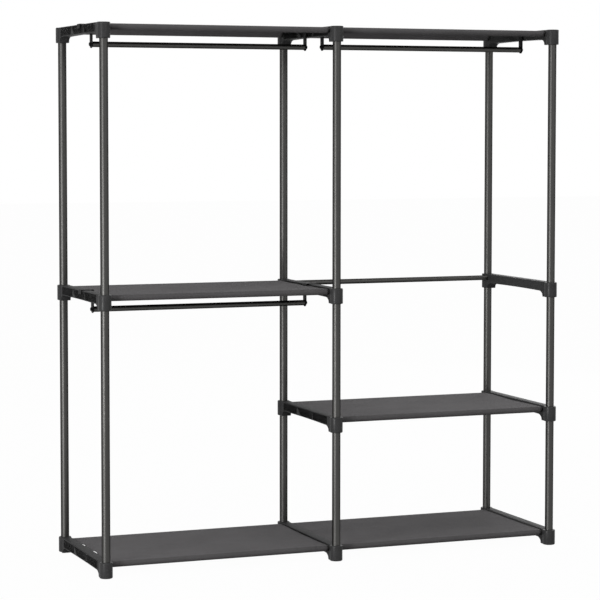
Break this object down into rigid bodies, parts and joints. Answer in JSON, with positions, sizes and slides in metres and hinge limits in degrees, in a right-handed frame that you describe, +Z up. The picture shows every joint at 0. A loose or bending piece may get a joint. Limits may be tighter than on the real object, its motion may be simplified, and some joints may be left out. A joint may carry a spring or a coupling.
{
  "type": "open frame wardrobe",
  "caption": "Free-standing open clothes rack: painted tubes in moulded end frames, fabric shelves sleeved on thin rails, and turning hanging rods on hooks.",
  "frame": {"origin": "On the floor, in the middle of the footprint: under the middle posts, half way between the front and back posts.", "axes": "+Z up; +X along the bays, to the right seen from the front; +Y from the front to the back."},
  "size_m": [1.5, 0.4828, 1.6274],
  "materials": {
    "frame_plastic": "charcoal moulded plastic, fine grain",
    "tube_paint": "gunmetal paint, satin, slightly metallic",
    "shelf_fabric": "dark grey non-woven fabric",
    "hanger_plastic": "black moulded plastic"
  },
  "bodies": {
    "rack": {"end_frame_left_bottom": "frame_plastic", "end_frame_left_mid": "frame_plastic", "end_frame_left_top": "frame_plastic", "end_frame_middle_bottom": "frame_plastic", "end_frame_middle_low": "frame_plastic", "end_frame_middle_mid": "frame_plastic", "end_frame_middle_top": "frame_plastic", "end_frame_right_bottom": "frame_plastic", "end_frame_right_low": "frame_plastic", "end_frame_right_mid": "frame_plastic", "end_frame_right_top": "frame_plastic", "hanger_left_mid_left": "hanger_plastic", "hanger_left_mid_right": "hanger_plastic", "hanger_left_top_left": "hanger_plastic", "hanger_left_top_right": "hanger_plastic", "hanger_right_top_left": "hanger_plastic", "hanger_right_top_right": "hanger_plastic", "post_left_back_from_bottom": "tube_paint", "post_left_back_from_mid": "tube_paint", "post_left_front_from_bottom": "tube_paint", "post_left_front_from_mid": "tube_paint", "post_middle_back_from_bottom": "tube_paint", "post_middle_back_from_low": "tube_paint", "post_middle_back_from_mid": "tube_paint", "post_middle_front_from_bottom": "tube_paint", "post_middle_front_from_low": "tube_paint", "post_middle_front_from_mid": "tube_paint", "post_right_back_from_bottom": "tube_paint", "post_right_back_from_low": "tube_paint", "post_right_back_from_mid": "tube_paint", "post_right_front_from_bottom": "tube_paint", "post_right_front_from_low": "tube_paint", "post_right_front_from_mid": "tube_paint", "rail_left_bottom_back": "tube_paint", "rail_left_bottom_front": "tube_paint", "rail_left_mid_back": "tube_paint", "rail_left_mid_front": "tube_paint", "rail_left_top_back": "tube_paint", "rail_left_top_front": "tube_paint", "rail_right_bottom_back": "tube_paint", "rail_right_bottom_front": "tube_paint", "rail_right_low_back": "tube_paint", "rail_right_low_front": "tube_paint", "rail_right_mid_back": "tube_paint", "rail_right_top_back": "tube_paint", "rail_right_top_front": "tube_paint", "shelf_left_bottom": "shelf_fabric", "shelf_left_mid": "shelf_fabric", "shelf_left_top": "shelf_fabric", "shelf_right_bottom": "shelf_fabric", "shelf_right_low": "shelf_fabric", "shelf_right_top": "shelf_fabric"},
    "rod_left_mid_body": {"rod_left_mid": "tube_paint"},
    "rod_left_top_body": {"rod_left_top": "tube_paint"},
    "rod_right_top_body": {"rod_right_top": "tube_paint"}
  },
  "joints": [
    {"name": "rod_left_mid_turn", "type": "hinge", "parent": "rack", "child": "rod_left_mid_body", "pos_m": [-0.36525, -0.0184, 0.7755], "axis": [1, 0, 0], "continuous": true},
    {"name": "rod_left_top_turn", "type": "hinge", "parent": "rack", "child": "rod_left_top_body", "pos_m": [-0.36525, -0.0184, 1.5673], "axis": [1, 0, 0], "continuous": true},
    {"name": "rod_right_top_turn", "type": "hinge", "parent": "rack", "child": "rod_right_top_body", "pos_m": [0.36525, -0.0487, 1.5673], "axis": [1, 0, 0], "continuous": true}
  ]
}
